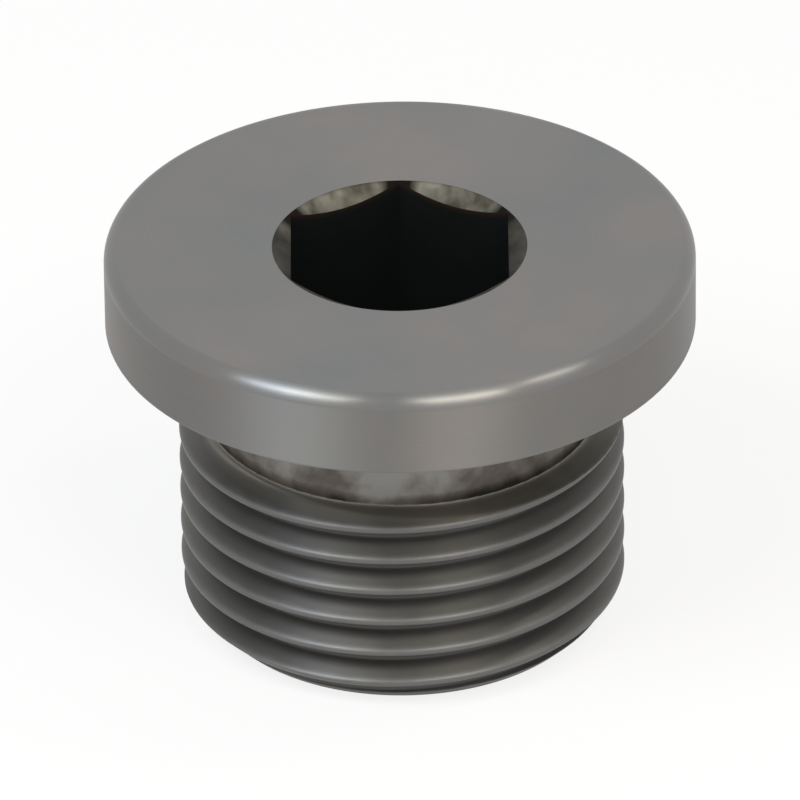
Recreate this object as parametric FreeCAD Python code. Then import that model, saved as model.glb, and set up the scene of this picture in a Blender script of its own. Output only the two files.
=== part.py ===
# Hexagon socket screw plug with a collar, turned from one bar of steel.
# A parallel G 3/8 pipe thread closes the port, and the flat under the collar seats on a sealing ring.
# Millimetres, +Z towards the head, origin at the centre of the flat under the collar.

import FreeCAD
import Part
import math
import os

from FreeCAD import Vector

# Collar
collar_diameter = 22.0
collar_height = 3.2
collar_top_rounding = 0.5
collar_bottom_chamfer = 0.12

# Shank, measured down from the flat under the collar
shank_length = 12.0
undercut_width = 3.6
undercut_diameter = 14.7
undercut_exit_angle = 60.0
end_face_diameter = 14.5
lead_chamfer_angle = 45.0

# Parallel pipe thread: right hand, 55 degree flanks, a sixth of the sharp height cut from crest and root
threads_per_inch = 19
thread_major_diameter = 16.662
flank_half_angle = 27.5
truncation_share = 1 / 6
groove_clearance = 0.1
groove_run_in_per_pitch = 1.36
groove_run_out_share = 0.5

# Socket for an 8 mm hexagon key, with a flat floor and two of its corners on the Y axis
hex_sides = 6
hex_across_flats = 8.1
hex_depth = 7.5
hex_corner_bearing = 90.0
mouth_diameter = 9.45
mouth_angle = 115.0
cut_overrun = 1.0

MM_PER_INCH = 25.4
FULL_TURN = 360.0
AXIS_POINT = Vector(0, 0, 0)
AXIS = Vector(0, 0, 1)
NODE = "threaded_plug"


def tangent(angle):
    return math.tan(math.radians(angle))


def at(radius, height):
    """A point of a half section, which lies in the XZ plane."""
    return Vector(radius, 0, height)


def rounded_corner(before, corner, after, radius):
    """The arc that rounds the corner between two straight edges, and its two ends."""
    back = (before - corner).normalize()
    ahead = (after - corner).normalize()
    half_angle = back.getAngle(ahead) / 2
    reach = radius / math.tan(half_angle)
    centre = corner + (back + ahead).normalize() * (radius / math.sin(half_angle))
    start = corner + back * reach
    end = corner + ahead * reach
    middle = centre + (corner - centre).normalize() * radius
    return start, Part.Arc(start, middle, end).toShape(), end


def section(corners):
    """A closed outline of straight edges. Each corner is a point and its rounding, 0 where it is sharp."""
    turns = []
    for i, (corner, radius) in enumerate(corners):
        before = corners[i - 1][0]
        after = corners[(i + 1) % len(corners)][0]
        if radius > 0:
            turns.append(rounded_corner(before, corner, after, radius))
        else:
            turns.append((corner, None, corner))
    edges = []
    for i, (_, arc, end) in enumerate(turns):
        next_start = turns[(i + 1) % len(turns)][0]
        if arc is not None:
            edges.append(arc)
        edges.append(Part.LineSegment(end, next_start).toShape())
    return Part.Wire(edges)


def turned(corners):
    """The solid that a lathe leaves from a half section."""
    return Part.Face(section(corners)).revolve(AXIS_POINT, AXIS, FULL_TURN)


def turned_blank():
    """Collar, undercut, plain shank and lead chamfer, before the thread and the socket."""
    collar_r = collar_diameter / 2
    undercut_r = undercut_diameter / 2
    shank_r = thread_major_diameter / 2
    end_r = end_face_diameter / 2
    exit_height = (shank_r - undercut_r) / tangent(undercut_exit_angle)
    lead_height = (shank_r - end_r) / tangent(lead_chamfer_angle)
    return turned([
        (at(0, -shank_length), 0),
        (at(end_r, -shank_length), 0),
        (at(shank_r, -shank_length + lead_height), 0),
        (at(shank_r, -undercut_width - exit_height), 0),
        (at(undercut_r, -undercut_width), 0),
        (at(undercut_r, 0), 0),
        (at(collar_r - collar_bottom_chamfer, 0), 0),
        (at(collar_r, collar_bottom_chamfer), 0),
        (at(collar_r, collar_height), collar_top_rounding),
        (at(0, collar_height), 0),
    ])


def helix(radius, height, pitch):
    """One right-hand turn, which starts in the XZ plane."""
    turn = Part.makeHelix(pitch, pitch, radius)
    turn.translate(AXIS * height)
    return turn.Edges[0]


def groove_turn(corners, pitch):
    """One turn of the thread's groove: a wall between the helices of each two corners, and two ends."""
    helices = [helix(radius, height, pitch) for radius, height in corners]
    walls = [Part.makeRuledSurface(*pair) for pair in zip(helices, helices[1:] + helices[:1])]
    outline = [at(*corner) for corner in corners + corners[:1]]
    start = Part.Face(Part.makePolygon(outline))
    end = start.translated(AXIS * pitch)
    shell = Part.makeShell(walls + [start, end])
    shell.sewShape()
    return Part.Solid(Part.Shell(shell.Faces))


def thread_groove():
    """The space that the threading tool clears, turn by turn, as copies one pitch apart.
    It runs in from below the end face and runs out in the open undercut."""
    pitch = MM_PER_INCH / threads_per_inch
    flank = tangent(flank_half_angle)
    sharp_height = pitch / 2 / flank
    truncation = sharp_height * truncation_share
    major_r = thread_major_diameter / 2
    root_r = major_r - sharp_height + 2 * truncation
    outer_r = major_r + groove_clearance
    half_root = truncation * flank
    half_mouth = half_root + (outer_r - root_r) * flank
    first = -shank_length - groove_run_in_per_pitch * pitch
    last = -undercut_width * groove_run_out_share
    corners = [
        (root_r, first - half_root),
        (root_r, first + half_root),
        (outer_r, first + half_mouth),
        (outer_r, first - half_mouth),
    ]
    turn = groove_turn(corners, pitch)
    turns = math.ceil((last - first) / pitch)
    return [turn.translated(AXIS * pitch * i) for i in range(turns)]


def hexagon(corner_r, height):
    """A hexagon across the axis, with its corners at this radius."""
    bearings = [math.radians(hex_corner_bearing + FULL_TURN * i / hex_sides) for i in range(hex_sides + 1)]
    return Part.makePolygon([Vector(corner_r * math.cos(b), corner_r * math.sin(b), height) for b in bearings])


def socket():
    """The room for the key: a hexagonal hole with a flat floor, and the countersink at its mouth."""
    flat_r = hex_across_flats / 2
    corner_r = flat_r / math.cos(math.pi / hex_sides)
    floor = collar_height - hex_depth
    prism = Part.Face(hexagon(corner_r, floor)).extrude(AXIS * (hex_depth + cut_overrun))
    mouth_r = mouth_diameter / 2
    mouth_depth = mouth_r / tangent(mouth_angle / 2)
    countersink = turned([
        (at(0, collar_height - mouth_depth), 0),
        (at(mouth_r, collar_height), 0),
        (at(mouth_r, collar_height + cut_overrun), 0),
        (at(0, collar_height + cut_overrun), 0),
    ])
    return prism.fuse(countersink)


def threaded_plug():
    return turned_blank().cut(thread_groove()).cut(socket())


os.makedirs("parts", exist_ok=True)
threaded_plug().exportStep(f"parts/{NODE}.step")
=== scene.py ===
"""Dressed model of a steel hexagon socket screw plug with a collar, standing on its threaded end."""

import math

import bmesh
import bpy
from mathutils import Matrix, Vector


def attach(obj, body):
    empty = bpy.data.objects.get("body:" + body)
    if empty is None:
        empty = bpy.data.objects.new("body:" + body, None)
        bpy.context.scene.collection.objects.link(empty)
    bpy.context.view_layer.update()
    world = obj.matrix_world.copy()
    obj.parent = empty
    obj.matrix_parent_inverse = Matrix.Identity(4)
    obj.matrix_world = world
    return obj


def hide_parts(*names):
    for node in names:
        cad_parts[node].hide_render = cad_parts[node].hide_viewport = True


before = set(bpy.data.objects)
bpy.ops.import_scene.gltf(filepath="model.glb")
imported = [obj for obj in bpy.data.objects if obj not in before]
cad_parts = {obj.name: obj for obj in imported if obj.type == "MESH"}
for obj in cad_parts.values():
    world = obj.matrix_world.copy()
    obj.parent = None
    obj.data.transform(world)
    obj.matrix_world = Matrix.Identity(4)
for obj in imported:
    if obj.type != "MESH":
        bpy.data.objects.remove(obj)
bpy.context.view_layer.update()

MM = 0.001
TURN = 2 * math.pi

# The solid that the dressed plug stands for
NODE = "threaded_plug"

# Sizes of the plug in millimetres and degrees. Heights count up from the flat under the collar.
# They are the solid's, apart from the undercut's exit, which is as the photo has it, and its fillet
# and the lower rounding, where the solid has a sharp corner and a chamfer.
COLLAR_RADIUS = 11.0
COLLAR_HEIGHT = 3.2
TOP_ROUNDING = 0.5
LOWER_ROUNDING = 0.12
UNDERCUT_RADIUS = 7.35
UNDERCUT_FILLET = 0.25
UNDERCUT_BOTTOM = -3.69
EXIT_ANGLE = 80.0
EXIT_SLOPE = math.tan(math.radians(EXIT_ANGLE))
EXIT_BLEND = 0.9
END_HEIGHT = -12.0
END_RADIUS = 7.25

# The pipe thread. A sixth of the sharp height is cut from crest and root. At +X, the crest that the
# others are counted from lies the crest drop, a share of the pitch, below the end face.
INCH = 25.4
THREADS_PER_INCH = 19
PITCH = INCH / THREADS_PER_INCH
MAJOR_DIAMETER = 16.662
MAJOR_RADIUS = MAJOR_DIAMETER / 2
FLANK_HALF_ANGLE = 27.5
SHARP_HEIGHT = PITCH / 2 / math.tan(math.radians(FLANK_HALF_ANGLE))
ROOT_RADIUS = MAJOR_RADIUS - SHARP_HEIGHT * 2 / 3
HALF_CREST = PITCH / 12
CREST_DROP = 0.86
CREST_HEIGHT = END_HEIGHT - CREST_DROP * PITCH

# The socket, a hexagon with flats at bearings 0, 60 and so on, and its countersunk mouth
HEX_SIDES = 6
HEX_FLAT_RADIUS = 4.05
HEX_DEPTH = 7.5
HEX_FLOOR = COLLAR_HEIGHT - HEX_DEPTH
MOUTH_RADIUS = 4.725
MOUTH_ANGLE = 115.0
MOUTH_SLOPE = math.tan(math.radians(MOUTH_ANGLE / 2))

# Fineness of the mesh. The thread's mesh meets the head's at the join height, on the undercut's wall.
SEGMENTS = 144
ROWS_PER_PITCH = 72
JOIN_HEIGHT = -2.9
EDGE_BLEND = 0.06
THREAD_BLEND = 0.2
SUPPORT = 0.02
WIDE_SUPPORT = 3 * SUPPORT
ARC_STEPS = 8
MERGE_DISTANCE = 0.001
SHARP_ANGLE = 35

# Heights at which a finish changes. The undercut's stained finish ends a little above its foot,
# painted shade darkens a band just over that, and the ledge below has painted light, lighter than the
# thread.
STAIN_END = UNDERCUT_BOTTOM + 0.1
CORNER_PAINTED_SHADE = (UNDERCUT_BOTTOM + 0.15, UNDERCUT_BOTTOM + 0.55)
LEDGE = (UNDERCUT_BOTTOM - 0.3, UNDERCUT_BOTTOM - 0.1)
MOUTH_EDGE_DARKENING = (COLLAR_HEIGHT - 0.45, COLLAR_HEIGHT - 0.1)

# Sizes of the patterns in millimetres. A lathe's feed is nearer 0.08, and its marks are drawn as
# coarse as they need to show.
TURNING_MARKS = 0.12
HANDLING_CLOUDS = 5.0
OIL_GRAIN = 0.9
STAIN_PATCHES = 1.3
CHATTER = 0.7
SOCKET_MOTTLE = 1.0
DRIED_LINE = 0.25

# A quarter turn of a highlight, which stretches it across the turning marks instead of along them
ACROSS_MARKS = 0.25

# The floor: its side in metres, the gap under the end face in millimetres, and how much of it the
# camera sees as plain white. The rest takes the plug's shadow.
FLOOR_SIZE = 3.0
FLOOR_GAP = 0.02
FLOOR_WHITE = 0.82

# The light of the white world on the plug, and the lamps' distance in metres
WORLD_LIGHT = 0.4
LAMP_DISTANCE = 300 * MM

# The camera, fitted to the photo's outline, mouth and crests. Angles are in degrees, and the picture
# is 800 pixels wide. Camera and lamps point at the aim, near the middle of the plug.
VIEW_ELEVATION = 31.4
VIEW_ROLL = 0.65
VIEW_DISTANCE = 500 * MM
VIEW_REACH = 10.0
PIXELS = 800
PIXELS_PER_MM = 26.75
SENSOR = 36.0
AIM = Vector((-0.05, 0.0, -3.53)) * MM


def linear(code):
    """An sRGB hex colour as the linear colour that a shader takes."""
    parts = [int(code[i:i + 2], 16) / 255 for i in (1, 3, 5)]
    return [p / 12.92 if p <= 0.04045 else ((p + 0.055) / 1.055) ** 2.4 for p in parts] + [1.0]


def add(tree, kind, settings=None, links=None):
    """Adds a node, sets its properties, inputs and ramp stops, and links sockets into it."""
    node = tree.nodes.new(kind)
    for key, value in (settings or {}).items():
        if key == "stops":
            ends = node.color_ramp.elements
            ends[0].position, ends[0].color = value[0]
            ends[1].position, ends[1].color = value[-1]
            for position, colour in value[1:-1]:
                ends.new(position).color = colour
        elif isinstance(key, int) or key in node.inputs:
            node.inputs[key].default_value = value
        else:
            setattr(node, key, value)
    for key, socket in (links or {}).items():
        tree.links.new(socket, node.inputs[key])
    return node


def new_material(name):
    """An empty material and its node tree."""
    material = bpy.data.materials.new(name)
    material.use_nodes = True
    material.node_tree.nodes.clear()
    return material, material.node_tree


# The thread


def thread_tree(material):
    """A grid that is sheared along the helix, so that its rows run along the crests and roots."""
    tree = bpy.data.node_groups.new("pipe_thread", "GeometryNodeTree")
    sizes = {
        "Pitch": PITCH, "Major radius": MAJOR_RADIUS, "Root radius": ROOT_RADIUS,
        "Half crest": HALF_CREST, "Crest height": CREST_HEIGHT,
        "Flank half angle": FLANK_HALF_ANGLE, "End height": END_HEIGHT, "End radius": END_RADIUS,
        "Join height": JOIN_HEIGHT, "Undercut bottom": UNDERCUT_BOTTOM,
        "Undercut radius": UNDERCUT_RADIUS, "Exit slope": EXIT_SLOPE, "Exit blend": EXIT_BLEND,
        "Edge blend": EDGE_BLEND, "Thread blend": THREAD_BLEND,
    }
    counts = {"Segments": SEGMENTS, "Rows per pitch": ROWS_PER_PITCH}
    sockets = [("Geometry", "INPUT", "Geometry")]
    sockets += [(name, "INPUT", "Float") for name in sizes]
    sockets += [(name, "INPUT", "Int") for name in counts]
    sockets += [("Material", "INPUT", "Material"), ("Geometry", "OUTPUT", "Geometry")]
    for name, way, kind in sockets:
        tree.interface.new_socket(name=name, in_out=way, socket_type="NodeSocket" + kind)
    given = tree.nodes.new("NodeGroupInput").outputs
    position = add(tree, "GeometryNodeInputPosition")
    grid_point = add(tree, "ShaderNodeSeparateXYZ", links={0: position.outputs[0]})

    # Each sum has its name, what it does, and its terms: numbers, inputs or earlier sums.
    sums = [
        # The grid covers one turn more than the thread is long, because each column starts higher
        # than the last. Its X runs up the thread, and its Y once round the plug.
        ("height", "SUBTRACT", "Join height", "End height"),
        ("pitches", "DIVIDE", "height", "Pitch"),
        ("whole pitches", "CEIL", "pitches"),
        ("turns", "ADD", "whole pitches", 1),
        ("rows", "MULTIPLY", "turns", "Rows per pitch"),
        ("points up", "ADD", "rows", 1),
        ("points round", "ADD", "Segments", 1),
        ("length", "MULTIPLY", "turns", "Pitch"),
        ("half length", "MULTIPLY", "length", 0.5),
        # A point's share of the turn, and its height between the end face and the join
        ("share", "ADD", "Grid Y", 0.5),
        ("rise", "MULTIPLY", "share", "Pitch"),
        ("start", "SUBTRACT", "End height", "Pitch"),
        ("from start", "ADD", "Grid X", "half length"),
        ("along", "ADD", "from start", "start"),
        ("raised", "ADD", "along", "rise"),
        ("above end", "MAXIMUM", "raised", "End height"),
        ("z", "MINIMUM", "above end", "Join height"),
        # Distance from the nearest crest gives the flank, and both its ends are blended round.
        ("unwound", "SUBTRACT", "z", "rise"),
        ("from crest", "SUBTRACT", "unwound", "Crest height"),
        ("half pitch", "MULTIPLY", "Pitch", 0.5),
        ("distance", "PINGPONG", "from crest", "half pitch"),
        ("angle", "RADIANS", "Flank half angle"),
        ("slope", "TANGENT", "angle"),
        ("past crest", "SUBTRACT", "distance", "Half crest"),
        ("drop", "DIVIDE", "past crest", "slope"),
        ("flank", "SUBTRACT", "Major radius", "drop"),
        ("crested", "SMOOTH_MIN", "flank", "Major radius", "Thread blend"),
        ("thread", "SMOOTH_MAX", "crested", "Root radius", "Thread blend"),
        # The lead chamfer and the undercut's exit cut across the thread. The exit has a round foot.
        ("over end", "SUBTRACT", "z", "End height"),
        ("lead", "ADD", "End radius", "over end"),
        ("under foot", "SUBTRACT", "Undercut bottom", "z"),
        ("climb", "MULTIPLY", "under foot", "Exit slope"),
        ("sharp exit", "ADD", "Undercut radius", "climb"),
        ("exit", "SMOOTH_MAX", "sharp exit", "Undercut radius", "Exit blend"),
        ("envelope", "MINIMUM", "lead", "exit"),
        ("radius", "SMOOTH_MIN", "thread", "envelope", "Edge blend"),
        # The point goes round the axis.
        ("bearing", "MULTIPLY", "share", TURN),
        ("cosine", "COSINE", "bearing"),
        ("sine", "SINE", "bearing"),
        ("x", "MULTIPLY", "radius", "cosine"),
        ("y", "MULTIPLY", "radius", "sine"),
    ]
    known = {name: given[name] for name in [*sizes, *counts]}
    known["Grid X"] = grid_point.outputs["X"]
    known["Grid Y"] = grid_point.outputs["Y"]
    for name, operation, *terms in sums:
        numbers = {i: term for i, term in enumerate(terms) if not isinstance(term, str)}
        linked = {i: known[term] for i, term in enumerate(terms) if isinstance(term, str)}
        node = add(tree, "ShaderNodeMath", {"operation": operation, **numbers}, linked)
        known[name] = node.outputs[0]

    grid = add(tree, "GeometryNodeMeshGrid", {"Size Y": 1.0}, {
        "Size X": known["length"],
        "Vertices X": known["points up"],
        "Vertices Y": known["points round"],
    })
    point = add(tree, "ShaderNodeCombineXYZ", links={
        "X": known["x"],
        "Y": known["y"],
        "Z": known["z"],
    })
    wrapped = add(tree, "GeometryNodeSetPosition", links={
        "Geometry": grid.outputs["Mesh"],
        "Position": point.outputs[0],
    })
    closed = add(tree, "GeometryNodeMergeByDistance", {"Distance": MERGE_DISTANCE},
                 {"Geometry": wrapped.outputs[0]})
    real = add(tree, "GeometryNodeRealizeInstances", links={"Geometry": closed.outputs[0]})
    coated = add(tree, "GeometryNodeSetMaterial", links={
        "Geometry": real.outputs[0],
        "Material": given["Material"],
    })
    add(tree, "NodeGroupOutput", links={"Geometry": coated.outputs[0]})
    return tree, {**sizes, **counts, "Material": material}


def threaded_shank(material):
    """The thread as a plain open mesh, in millimetres, with a round rim at each end."""
    tree, values = thread_tree(material)
    carrier = bpy.data.objects.new("thread_carrier", bpy.data.meshes.new("thread_carrier"))
    bpy.context.scene.collection.objects.link(carrier)
    modifier = carrier.modifiers.new("thread", "NODES")
    modifier.node_group = tree
    for item in tree.interface.items_tree:
        if item.in_out == "INPUT" and item.name in values:
            modifier[item.identifier] = values[item.name]
    depsgraph = bpy.context.evaluated_depsgraph_get()
    mesh = bpy.data.meshes.new_from_object(carrier.evaluated_get(depsgraph))
    carrier.modifiers.remove(modifier)
    bpy.data.objects.remove(carrier)
    return mesh


# The head, the socket and the end face


def arc(centre_r, centre_z, radius, start, end):
    """Points along a quarter circle or less of the half section, as radius and height."""
    points = []
    for step in range(ARC_STEPS + 1):
        angle = math.radians(start + (end - start) * step / ARC_STEPS)
        points.append((centre_r + radius * math.cos(angle), centre_z + radius * math.sin(angle)))
    return points


def hex_radius(bearing):
    """How far the socket's wall is from the axis in this direction."""
    sector = TURN / HEX_SIDES
    return HEX_FLAT_RADIUS / math.cos((bearing + sector / 2) % sector - sector / 2)


def mouth_point(radius, bearing):
    """A point of the countersunk mouth, no further in than the socket's wall."""
    radius = max(radius, hex_radius(bearing))
    return radius, COLLAR_HEIGHT - (MOUTH_RADIUS - radius) / MOUTH_SLOPE


def head_rings():
    """Each ring of the head, from the undercut over the collar and down the socket, with its finish.
    A ring is a function of the bearing that gives its radius and height."""
    fillet = UNDERCUT_RADIUS + UNDERCUT_FILLET
    lower = COLLAR_RADIUS - LOWER_ROUNDING
    upper = COLLAR_RADIUS - TOP_ROUNDING
    neck = [(UNDERCUT_RADIUS, JOIN_HEIGHT), (UNDERCUT_RADIUS, -UNDERCUT_FILLET - SUPPORT)]
    neck += arc(fillet, -UNDERCUT_FILLET, UNDERCUT_FILLET, 180, 90)
    side = [(fillet + SUPPORT, 0), (lower - SUPPORT, 0)]
    side += arc(lower, LOWER_ROUNDING, LOWER_ROUNDING, -90, 0)
    side += [(COLLAR_RADIUS, LOWER_ROUNDING + SUPPORT)]
    side += [(COLLAR_RADIUS, COLLAR_HEIGHT - TOP_ROUNDING - SUPPORT)]
    edge = arc(upper, COLLAR_HEIGHT - TOP_ROUNDING, TOP_ROUNDING, 0, 90)
    top = [(upper - SUPPORT, COLLAR_HEIGHT)]
    top += [(MOUTH_RADIUS + gap, COLLAR_HEIGHT) for gap in (WIDE_SUPPORT, SUPPORT)]
    rings = []
    for finish, section in (("undercut", neck), ("side", side), ("edge", edge), ("face", top)):
        rings += [(finish, lambda b, r=r, z=z: (r, z)) for r, z in section]
    for radius in (MOUTH_RADIUS - SUPPORT, MOUTH_RADIUS - WIDE_SUPPORT, HEX_FLAT_RADIUS):
        rings.append(("mouth", lambda b, r=radius: mouth_point(r, b)))
    rings.append(("socket", lambda b: (hex_radius(b), HEX_FLOOR)))
    rings.append(("socket", lambda b: (hex_radius(b) / 2, HEX_FLOOR)))
    return rings


def end_rings():
    """The flat end face, from its edge inwards."""
    radii = (END_RADIUS, END_RADIUS - SUPPORT, END_RADIUS / 2)
    return [("face", lambda b, r=r: (r, END_HEIGHT)) for r in radii]


def turned_shell(rings, names, pole):
    """Skins the rings and closes the last one on a point of the axis."""
    shell = bmesh.new()
    loops = []
    for _, ring in rings:
        loop = []
        for step in range(SEGMENTS):
            bearing = TURN * step / SEGMENTS
            radius, height = ring(bearing)
            point = (radius * math.cos(bearing), radius * math.sin(bearing), height)
            loop.append(shell.verts.new(point))
        loops.append(loop)
    for (finish, _), near, far in zip(rings[1:], loops, loops[1:]):
        for step in range(SEGMENTS):
            after = (step + 1) % SEGMENTS
            quad = shell.faces.new((near[step], near[after], far[after], far[step]))
            quad.material_index = names.index(finish)
    tip = shell.verts.new((0, 0, pole))
    for step in range(SEGMENTS):
        last = shell.faces.new((loops[-1][step], loops[-1][(step + 1) % SEGMENTS], tip))
        last.material_index = names.index(rings[-1][0])
    mesh = bpy.data.meshes.new("turned_shell")
    shell.to_mesh(mesh)
    shell.free()
    return mesh


def dressed_plug(finishes):
    """One closed mesh from the thread, the head and the end face, in metres."""
    names = list(finishes)
    whole = bmesh.new()
    whole.from_mesh(threaded_shank(finishes["thread"]))
    for quad in whole.faces:
        above = quad.calc_center_median().z > STAIN_END
        quad.material_index = names.index("undercut" if above else "thread")
    whole.from_mesh(turned_shell(head_rings(), names, HEX_FLOOR))
    whole.from_mesh(turned_shell(end_rings(), names, END_HEIGHT))
    bmesh.ops.remove_doubles(whole, verts=whole.verts, dist=MERGE_DISTANCE)
    bmesh.ops.dissolve_degenerate(whole, edges=whole.edges, dist=MERGE_DISTANCE / 2)
    bmesh.ops.recalc_face_normals(whole, faces=whole.faces)
    bmesh.ops.scale(whole, vec=Vector((MM, MM, MM)), verts=whole.verts)
    mesh = bpy.data.meshes.new("dressed_plug")
    whole.to_mesh(mesh)
    whole.free()
    mesh.shade_smooth()
    mesh.set_sharp_from_angle(angle=math.radians(SHARP_ANGLE))
    for name in names:
        mesh.materials.append(finishes[name])
    plug = bpy.data.objects.new("dressed_plug", mesh)
    bpy.context.scene.collection.objects.link(plug)
    return plug


# The finishes


def new_finish(name):
    """A new material with its tree, the place on the plug, and that place's X, Y and Z."""
    material, tree = new_material(name)
    place = add(tree, "ShaderNodeTexCoord").outputs["Object"]
    axes = add(tree, "ShaderNodeSeparateXYZ", links={0: place}).outputs
    return material, tree, place, axes


def off_axis(tree, axes):
    """How far a place on the plug is from its axis."""
    flat = add(tree, "ShaderNodeCombineXYZ", links={"X": axes["X"], "Y": axes["Y"]})
    radius = add(tree, "ShaderNodeVectorMath", {"operation": "LENGTH"}, {0: flat.outputs[0]})
    return radius.outputs["Value"]


def turned_steel(name, cool, warm, smooth, rough, stretch):
    """Bright-turned carbon steel, plain and unplated: an even mid grey with a dull sheen.
    The lathe's fine rings stretch its reflections across them, and handling leaves faint clouds."""
    material, tree, place, axes = new_finish(name)
    clouds = add(tree, "ShaderNodeTexNoise", {
        "Scale": 1 / (HANDLING_CLOUDS * MM), "Detail": 3.0,
    }, {"Vector": place})
    colour = add(tree, "ShaderNodeValToRGB", {
        "stops": [(0.35, linear(cool)), (0.65, linear(warm))],
    }, {"Fac": clouds.outputs["Fac"]})
    path = add(tree, "ShaderNodeMath", {"operation": "SUBTRACT"},
               {0: off_axis(tree, axes), 1: axes["Z"]})
    marks = add(tree, "ShaderNodeTexNoise", {
        "noise_dimensions": "1D", "Scale": 1 / (TURNING_MARKS * MM), "Detail": 2.0,
        "Roughness": 0.6,
    }, {"W": path.outputs[0]})
    bump = add(tree, "ShaderNodeBump", {"Strength": 0.15, "Distance": 0.01 * MM},
               {"Height": marks.outputs["Fac"]})
    sheen = add(tree, "ShaderNodeMapRange", {"To Min": smooth, "To Max": rough},
                {"Value": marks.outputs["Fac"]})
    round_axis = add(tree, "ShaderNodeTangent", {"direction_type": "RADIAL", "axis": "Z"})
    metal = add(tree, "ShaderNodeBsdfPrincipled", {
        "Metallic": 1.0, "Anisotropic": stretch, "Anisotropic Rotation": ACROSS_MARKS,
    }, {
        "Base Color": colour.outputs["Color"],
        "Roughness": sheen.outputs[0],
        "Normal": bump.outputs[0],
        "Tangent": round_axis.outputs[0],
    })
    add(tree, "ShaderNodeOutputMaterial", links={"Surface": metal.outputs[0]})
    return material


def cut_thread_steel():
    """The same steel with a cut thread, dull from the die: a film of old oil spreads the light, so
    that the crests shine only softly. Its colour darkens towards the roots, which is painted shade in
    the grooves. The ledge above the first crest has painted light: its colour is lighter than the
    thread's."""
    material, tree, place, axes = new_finish("oiled_cut_thread_steel_painted_light_and_shade")
    # Painted shade: the colour darkens from the crests towards the roots.
    depth = add(tree, "ShaderNodeMapRange", {
        "From Min": ROOT_RADIUS * MM, "From Max": MAJOR_RADIUS * MM, "To Max": 0.8,
    }, {"Value": off_axis(tree, axes)})
    grain = add(tree, "ShaderNodeTexNoise", {"Scale": 1 / (OIL_GRAIN * MM), "Detail": 4.0},
                {"Vector": place})
    smear_and_painted_shade = add(tree, "ShaderNodeMath", {"operation": "MULTIPLY_ADD", 1: 0.3},
                {0: grain.outputs["Fac"], 2: depth.outputs[0]})
    colour = add(tree, "ShaderNodeValToRGB", {
        "stops": [(0.2, linear("#595856")), (0.75, linear("#5e5d5a")), (0.95, linear("#6b6b6a"))],
    }, {"Fac": smear_and_painted_shade.outputs[0]})
    # Painted light: the ledge above the first crest is made lighter than the thread.
    ledge = add(tree, "ShaderNodeMapRange", {
        "From Min": LEDGE[0] * MM, "From Max": LEDGE[1] * MM,
    }, {"Value": axes["Z"]})
    cut = add(tree, "ShaderNodeMix", {"data_type": "RGBA", "B": linear("#76736c")}, {
        0: ledge.outputs[0],
        "A": colour.outputs["Color"],
    })
    rough = add(tree, "ShaderNodeMapRange", {"To Min": 0.4, "To Max": 0.52},
                {"Value": grain.outputs["Fac"]})
    bump = add(tree, "ShaderNodeBump", {"Strength": 0.1, "Distance": 0.02 * MM},
               {"Height": grain.outputs["Fac"]})
    round_axis = add(tree, "ShaderNodeTangent", {"direction_type": "RADIAL", "axis": "Z"})
    metal = add(tree, "ShaderNodeBsdfPrincipled", {
        "Metallic": 0.93, "Anisotropic": 0.7, "Anisotropic Rotation": ACROSS_MARKS,
    }, {
        "Base Color": cut.outputs["Result"],
        "Roughness": rough.outputs[0],
        "Normal": bump.outputs[0],
        "Tangent": round_axis.outputs[0],
    })
    add(tree, "ShaderNodeOutputMaterial", links={"Surface": metal.outputs[0]})
    return material


def stained_and_shaded_steel():
    """The undercut, turned and left unwiped: brown, dried oil lies in mottled patches over grey
    steel. It is lightest in front and darker towards both sides, most towards +X, partly from the oil
    and partly as painted shade, and painted shade darkens the corner above the thread."""
    material, tree, place, axes = new_finish("stained_turned_steel_painted_shade")
    across = add(tree, "ShaderNodeMapRange", {
        "From Min": -UNDERCUT_RADIUS * MM, "From Max": UNDERCUT_RADIUS * MM,
    }, {"Value": axes["X"]})
    # How light the wall is, at places from -X to +X: its darker ends are partly oil and partly
    # painted shade
    unstained_lit_shares = ((0.0, 0.1), (0.32, 0.1), (0.46, 0.25), (0.6, 0.31), (0.69, 0.0), (1.0, 0.0))
    unstained_and_lit = add(tree, "ShaderNodeValToRGB", {
        "stops": [(position, (share, share, share, 1)) for position, share in unstained_lit_shares],
    }, {"Fac": across.outputs[0]})
    patches = add(tree, "ShaderNodeTexNoise", {
        "Scale": 1 / (STAIN_PATCHES * MM), "Detail": 4.0, "Roughness": 0.5,
    }, {"Vector": place})
    mottled = add(tree, "ShaderNodeMath", {"operation": "MULTIPLY_ADD", 1: 1.3},
                  {0: patches.outputs["Fac"], 2: unstained_and_lit.outputs["Color"]})
    # Painted shade: darker in the corner just above the thread.
    corner = add(tree, "ShaderNodeMapRange", {
        "From Min": CORNER_PAINTED_SHADE[0] * MM, "From Max": CORNER_PAINTED_SHADE[1] * MM,
        "To Min": 0.5, "To Max": 0.0,
    }, {"Value": axes["Z"]})
    left = add(tree, "ShaderNodeMath", {"operation": "SUBTRACT"},
               {0: mottled.outputs[0], 1: corner.outputs[0]})
    stain_and_shade = add(tree, "ShaderNodeValToRGB", {
        "stops": [
            (0.1, linear("#2f2c26")), (0.38, linear("#544f46")),
            (0.62, linear("#68625d")), (0.95, linear("#8c8a86")),
        ],
    }, {"Fac": left.outputs[0]})
    rough = add(tree, "ShaderNodeMapRange", {"To Min": 0.65, "To Max": 0.45},
                {"Value": patches.outputs["Fac"]})
    metal = add(tree, "ShaderNodeBsdfPrincipled", {"Metallic": 0.9}, {
        "Base Color": stain_and_shade.outputs["Color"],
        "Roughness": rough.outputs[0],
    })
    add(tree, "ShaderNodeOutputMaterial", links={"Surface": metal.outputs[0]})
    return material


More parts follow.
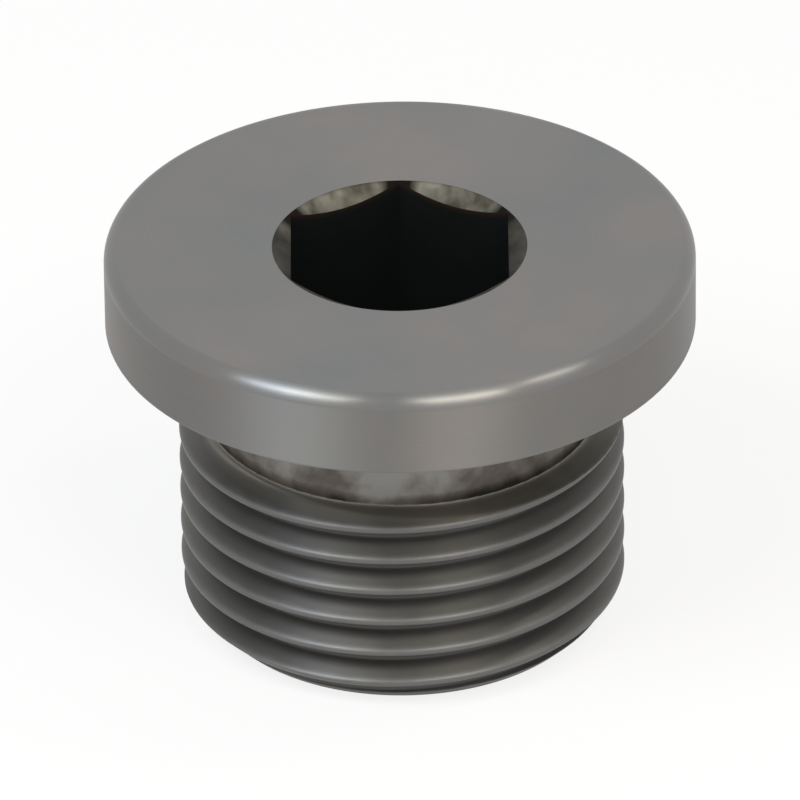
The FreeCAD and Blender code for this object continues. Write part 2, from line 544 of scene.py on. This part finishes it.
def countersunk_steel():
    """The socket's mouth, cut by a countersink that chattered: rough steel with an oily, olive tint.
    It is near black beside the hexagon's six corners and darker towards its lower edge, and painted
    shade darkens its
    -Y half."""
    material, tree, place, axes = new_finish("countersunk_steel")
    streaks = add(tree, "ShaderNodeMapping", {"Scale": (1.0, 0.7, 0.7)}, {"Vector": place})
    grain = add(tree, "ShaderNodeTexNoise", {"Scale": 1 / (CHATTER * MM), "Detail": 2.0},
                {"Vector": streaks.outputs[0]})
    colour = add(tree, "ShaderNodeValToRGB", {
        "stops": [(0.36, linear("#454239")), (0.64, linear("#6c6a61"))],
    }, {"Fac": grain.outputs["Fac"]})
    # The darkening is whole within 5 degrees of a corner, and ends 10 degrees from it.
    half_sector = 180 / HEX_SIDES
    bearing = add(tree, "ShaderNodeMath", {"operation": "ARCTAN2"}, {0: axes["Y"], 1: axes["X"]})
    turned = add(tree, "ShaderNodeMath", {"operation": "ADD", 1: math.radians(360 - half_sector)},
                 {0: bearing.outputs[0]})
    from_corner = add(tree, "ShaderNodeMath", {
        "operation": "PINGPONG", 1: math.radians(half_sector),
    }, {0: turned.outputs[0]})
    off_corner = add(tree, "ShaderNodeMapRange", {
        "From Min": math.radians(5), "From Max": math.radians(10),
    }, {"Value": from_corner.outputs[0]})
    # Painted shade: the colour darkens towards the -Y half, fading out by 2.8 mm towards +Y.
    minus_y_painted_shade = add(tree, "ShaderNodeMapRange", {
        "From Min": 0.5 * MM, "From Max": 2.8 * MM, "To Min": 0.3,
    }, {"Value": axes["Y"]})
    off_edge = add(tree, "ShaderNodeMapRange", {
        "From Min": MOUTH_EDGE_DARKENING[0] * MM, "From Max": MOUTH_EDGE_DARKENING[1] * MM, "To Min": 0.6,
    }, {"Value": axes["Z"]})
    off_corner_and_lit = add(tree, "ShaderNodeMath", {"operation": "MULTIPLY"},
                {0: off_corner.outputs[0], 1: minus_y_painted_shade.outputs[0]})
    undarkened = add(tree, "ShaderNodeMath", {"operation": "MULTIPLY"},
               {0: off_corner_and_lit.outputs[0], 1: off_edge.outputs[0]})
    darkened = add(tree, "ShaderNodeMix", {"data_type": "RGBA", "A": linear("#17130f")}, {
        0: undarkened.outputs[0],
        "B": colour.outputs["Color"],
    })
    bump = add(tree, "ShaderNodeBump", {"Strength": 0.3, "Distance": 0.03 * MM},
               {"Height": grain.outputs["Fac"]})
    metal = add(tree, "ShaderNodeBsdfPrincipled", {"Metallic": 1.0, "Roughness": 0.5}, {
        "Base Color": darkened.outputs["Result"],
        "Normal": bump.outputs[0],
    })
    add(tree, "ShaderNodeOutputMaterial", links={"Surface": metal.outputs[0]})
    return material


def pressed_socket_steel():
    """The hexagon, pressed, with a near-black colour that is painted shade for the deep hole: it
    gives back almost no light.
    A brown line of dried oil runs along its upper edge."""
    material, tree, place, axes = new_finish("painted_shade_socket_steel")
    mottle = add(tree, "ShaderNodeTexNoise", {"Scale": 1 / (SOCKET_MOTTLE * MM), "Detail": 3.0},
                 {"Vector": place})
    # Painted shade: the hole's walls are near black.
    colour = add(tree, "ShaderNodeValToRGB", {
        "stops": [(0.0, linear("#171b1b")), (1.0, linear("#1e2223"))],
    }, {"Fac": mottle.outputs["Fac"]})
    cone = add(tree, "ShaderNodeMath", {
        "operation": "MULTIPLY_ADD",
        1: 1 / MOUTH_SLOPE,
        2: (COLLAR_HEIGHT - MOUTH_RADIUS / MOUTH_SLOPE) * MM,
    }, {0: off_axis(tree, axes)})
    below = add(tree, "ShaderNodeMath", {"operation": "SUBTRACT"},
                {0: cone.outputs[0], 1: axes["Z"]})
    away = add(tree, "ShaderNodeMapRange", {"From Min": 0.0, "From Max": DRIED_LINE * MM},
               {"Value": below.outputs[0]})
    lined = add(tree, "ShaderNodeMix", {"data_type": "RGBA", "A": linear("#3a2a23")}, {
        0: away.outputs[0],
        "B": colour.outputs["Color"],
    })
    metal = add(tree, "ShaderNodeBsdfPrincipled", {"Metallic": 0.8, "Roughness": 0.6}, {
        "Base Color": lined.outputs["Result"],
    })
    add(tree, "ShaderNodeOutputMaterial", links={"Surface": metal.outputs[0]})
    return material


# The studio


def seen_plainly(tree):
    """1 for what the camera sees, straight or in a reflection or through glass, and 0 for light."""
    path = add(tree, "ShaderNodeLightPath").outputs
    seen = add(tree, "ShaderNodeMath", {"operation": "MAXIMUM"},
               {0: path["Is Camera Ray"], 1: path["Is Glossy Ray"]})
    seen_through = add(tree, "ShaderNodeMath", {"operation": "MAXIMUM"},
                       {0: seen.outputs[0], 1: path["Is Transmission Ray"]})
    return seen_through.outputs[0]


def white_world():
    """White all round, at full strength where it is seen and dimmer where it lights the plug."""
    world = bpy.data.worlds.new("studio")
    bpy.context.scene.world = world
    world.use_nodes = True
    tree = world.node_tree
    tree.nodes.clear()
    strength = add(tree, "ShaderNodeMapRange", {"To Min": WORLD_LIGHT, "To Max": 1.0},
                   {"Value": seen_plainly(tree)})
    sky = add(tree, "ShaderNodeBackground", {"Color": linear("#ffffff")},
              {"Strength": strength.outputs[0]})
    add(tree, "ShaderNodeOutputWorld", links={"Surface": sky.outputs[0]})


def pale_floor():
    """A plain white floor that keeps a soft shadow under the plug. A hair's gap under the end face
    keeps the two from sharing one plane."""
    mesh = bpy.data.meshes.new("floor")
    half = FLOOR_SIZE / 2
    base = (END_HEIGHT - FLOOR_GAP) * MM
    corners = [(-half, -half, base), (half, -half, base), (half, half, base), (-half, half, base)]
    mesh.from_pydata(corners, [], [(0, 1, 2, 3)])
    floor = bpy.data.objects.new("floor", mesh)
    bpy.context.scene.collection.objects.link(floor)
    material, tree = new_material("white_paper")
    paper = add(tree, "ShaderNodeBsdfDiffuse", {"Color": linear("#f4f4f4")})
    glow = add(tree, "ShaderNodeEmission", {"Color": linear("#ffffff"), "Strength": 1.0})
    whitened = add(tree, "ShaderNodeMixShader", {0: FLOOR_WHITE},
                   {1: paper.outputs[0], 2: glow.outputs[0]})
    shown = add(tree, "ShaderNodeMixShader", links={
        0: seen_plainly(tree),
        1: paper.outputs[0],
        2: whitened.outputs[0],
    })
    add(tree, "ShaderNodeOutputMaterial", links={"Surface": shown.outputs[0]})
    mesh.materials.append(material)


def direction(azimuth, elevation):
    """A unit vector from the plug. Azimuth 0 is towards the camera and grows to its right."""
    a, e = math.radians(azimuth), math.radians(elevation)
    return Vector((math.sin(a) * math.cos(e), -math.cos(a) * math.cos(e), math.sin(e)))


def soft_lamp(name, azimuth, elevation, width, height, power, colour):
    """A rectangular lamp that faces the plug: its bearing and height in degrees, its sides in
    millimetres and its power in watts."""
    data = bpy.data.lights.new(name, "AREA")
    data.shape = "RECTANGLE"
    data.size = width * MM
    data.size_y = height * MM
    data.energy = power
    data.color = linear(colour)[:3]
    lamp = bpy.data.objects.new(name, data)
    away = direction(azimuth, elevation)
    lamp.location = AIM + away * LAMP_DISTANCE
    lamp.rotation_euler = (-away).to_track_quat("-Z", "Y").to_euler()
    bpy.context.scene.collection.objects.link(lamp)


def photo_camera():
    """A long lens, as the photograph is almost without perspective."""
    data = bpy.data.cameras.new("photo_camera")
    data.sensor_width = SENSOR
    data.lens = PIXELS_PER_MM / MM * VIEW_DISTANCE / PIXELS * SENSOR
    data.clip_end = VIEW_REACH
    camera = bpy.data.objects.new("photo_camera", data)
    away = direction(0.0, VIEW_ELEVATION)
    camera.location = AIM + away * VIEW_DISTANCE
    turn = (-away).to_track_quat("-Z", "Y").to_matrix().to_4x4()
    roll = Matrix.Rotation(math.radians(-VIEW_ROLL), 4, "Z")
    camera.rotation_euler = (turn @ roll).to_euler()
    bpy.context.scene.collection.objects.link(camera)
    bpy.context.scene.camera = camera


finishes = {
    "thread": cut_thread_steel(),
    "face": turned_steel("faced_carbon_steel", "#777978", "#7f7c7a",
                         smooth=0.34, rough=0.44, stretch=0.5),
    "edge": turned_steel("worn_edge_carbon_steel", "#787a79", "#7e7c7a",
                         smooth=0.3, rough=0.36, stretch=0.94),
    # Painted light: the side's colours are a little lighter than the face's.
    "side": turned_steel("turned_carbon_steel_painted_light", "#7c7c7a", "#827e7b",
                         smooth=0.42, rough=0.52, stretch=0.94),
    "undercut": stained_and_shaded_steel(),
    "mouth": countersunk_steel(),
    "socket": pressed_socket_steel(),
}
plug = dressed_plug(finishes)
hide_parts(NODE)
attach(plug, "root")

white_world()
pale_floor()
soft_lamp("cool_left_lamp", -59, 50, 95, 120, 0.285, "#e6f1ff")
soft_lamp("warm_left_lamp", -38, 50, 95, 120, 0.25, "#fffaf2")
soft_lamp("right_lamp", 27, 50, 135, 120, 0.36, "#fff8ec")
soft_lamp("side_lamp", 91, 60, 48, 75, 0.1, "#fff8ec")
photo_camera()
bpy.context.scene.view_settings.view_transform = "Standard"
